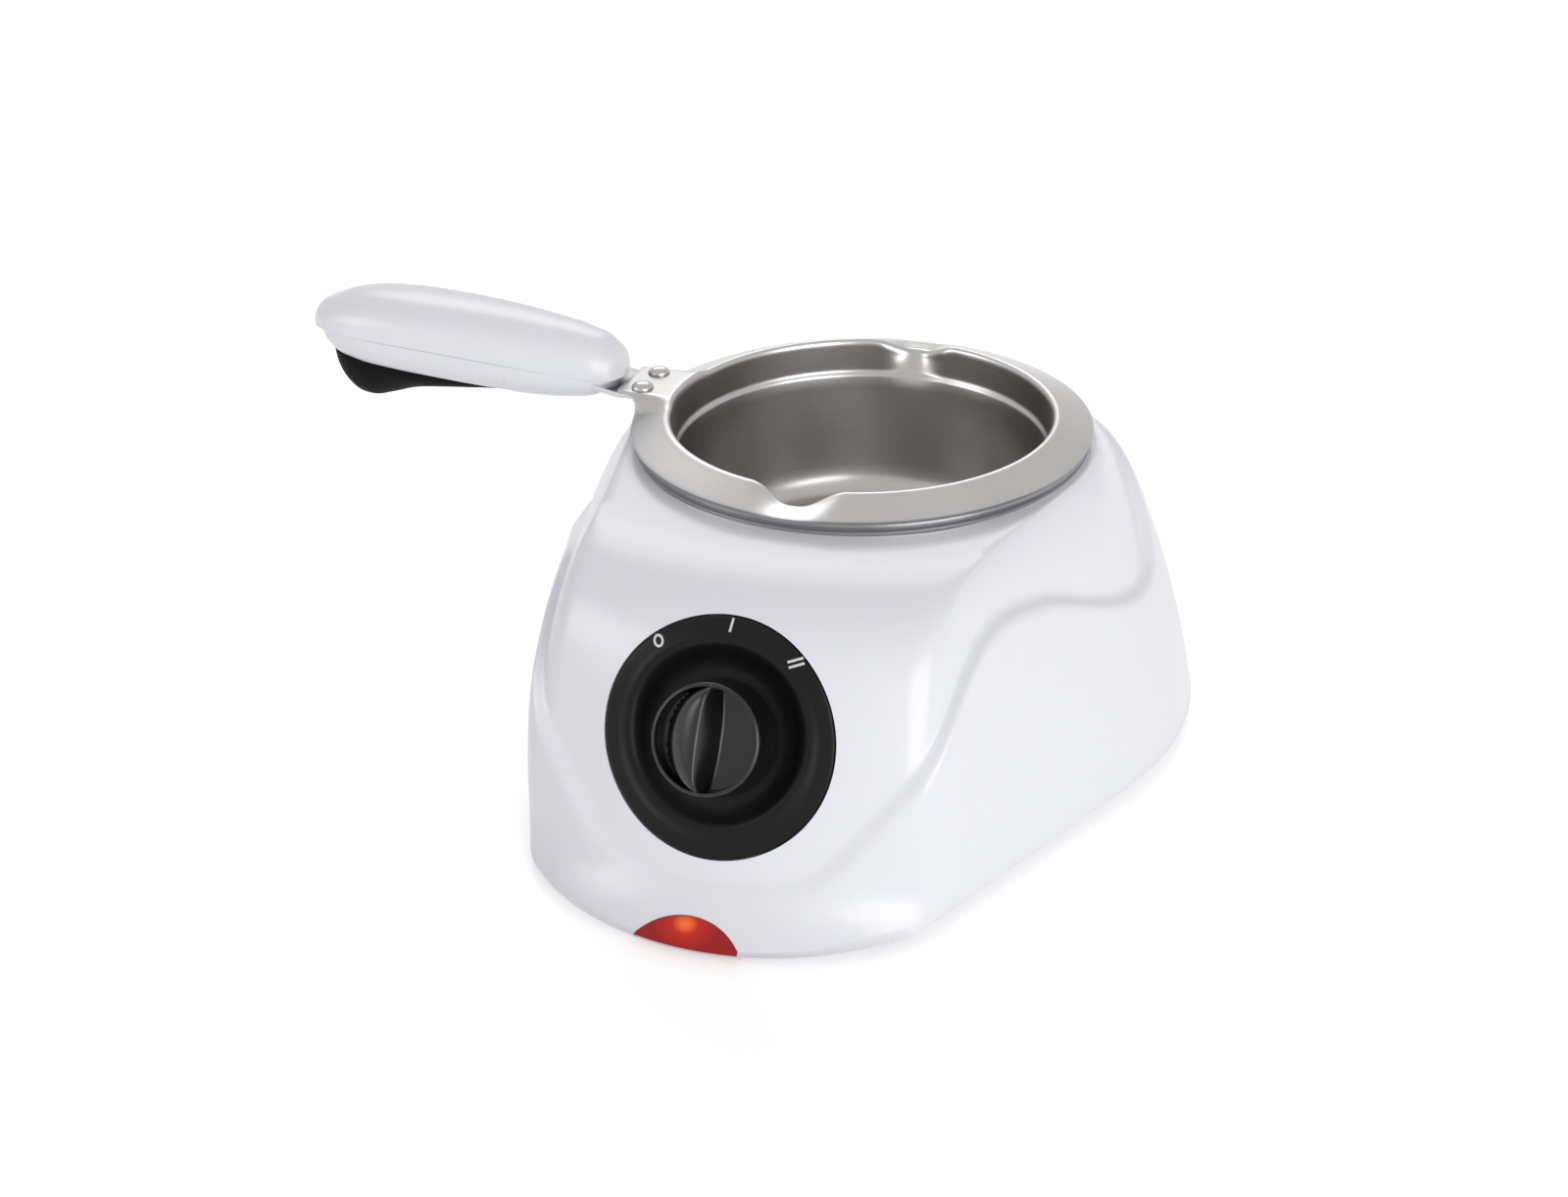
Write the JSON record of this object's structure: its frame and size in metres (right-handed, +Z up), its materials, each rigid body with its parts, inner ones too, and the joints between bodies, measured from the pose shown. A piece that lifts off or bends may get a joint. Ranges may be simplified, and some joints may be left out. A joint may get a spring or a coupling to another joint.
{
  "type": "electric chocolate fondue set",
  "caption": "Table-top electric melting pot: a housing with a heated well and rotary switch, and a lift-out metal pot with pouring lips and a riveted handle.",
  "frame": {"origin": "on the pot's axis, on the surface that the feet stand on", "axes": "+Z up along the pot's axis, -Y forward to the control panel, -X along the pot's handle"},
  "size_m": [0.2545, 0.2262, 0.101],
  "materials": {
    "white_plastic": "gloss",
    "base_plastic": "matte",
    "black_plastic": "satin",
    "switch_plastic": "matte",
    "red_lens": "translucent gloss",
    "rubber": "matte",
    "steel": "plain",
    "bright_metal": "bright",
    "aluminium": "satin",
    "cast_aluminium": "cast",
    "mica": "matte",
    "lamp_glass": "clear"
  },
  "bodies": {
    "base": {"housing": "white_plastic", "lamp_lens": "red_lens", "bottom_cover": "base_plastic", "feet": "rubber", "cover_screws": "steel", "well_collar": "bright_metal", "heating_well": "aluminium", "heater_plate": "cast_aluminium", "heating_element": "steel", "mica_insulator": "mica", "heater_clamp": "steel", "heater_nut": "steel", "thermostat": "switch_plastic", "thermal_fuse": "steel", "fuse_clip": "steel", "dial_plate": "black_plastic", "rotary_switch": "switch_plastic", "switch_nut": "steel", "neon_lamp": "lamp_glass", "lamp_holder": "base_plastic", "terminal_block": "switch_plastic", "cord_gland": "rubber", "cord_clamp": "base_plastic", "clamp_screws": "steel"},
    "pot": {"pot": "aluminium", "handle_tang": "steel", "pot_rivets": "aluminium", "handle_upper_shell": "white_plastic", "handle_lower_shell": "white_plastic", "handle_grip": "black_plastic", "handle_screws": "steel"},
    "knob": {"knob": "black_plastic", "switch_shaft": "steel"}
  },
  "joints": [
    {"name": "pot_lift", "type": "slide", "parent": "base", "child": "pot", "axis": [0, 0, 1], "range_m": [0, 0.08]},
    {"name": "knob_turn", "type": "hinge", "parent": "base", "child": "knob", "pos_m": [0, -0.10966, 0.045], "axis": [0, -0.8829, 0.4695], "range_deg": [-40, 40]}
  ]
}
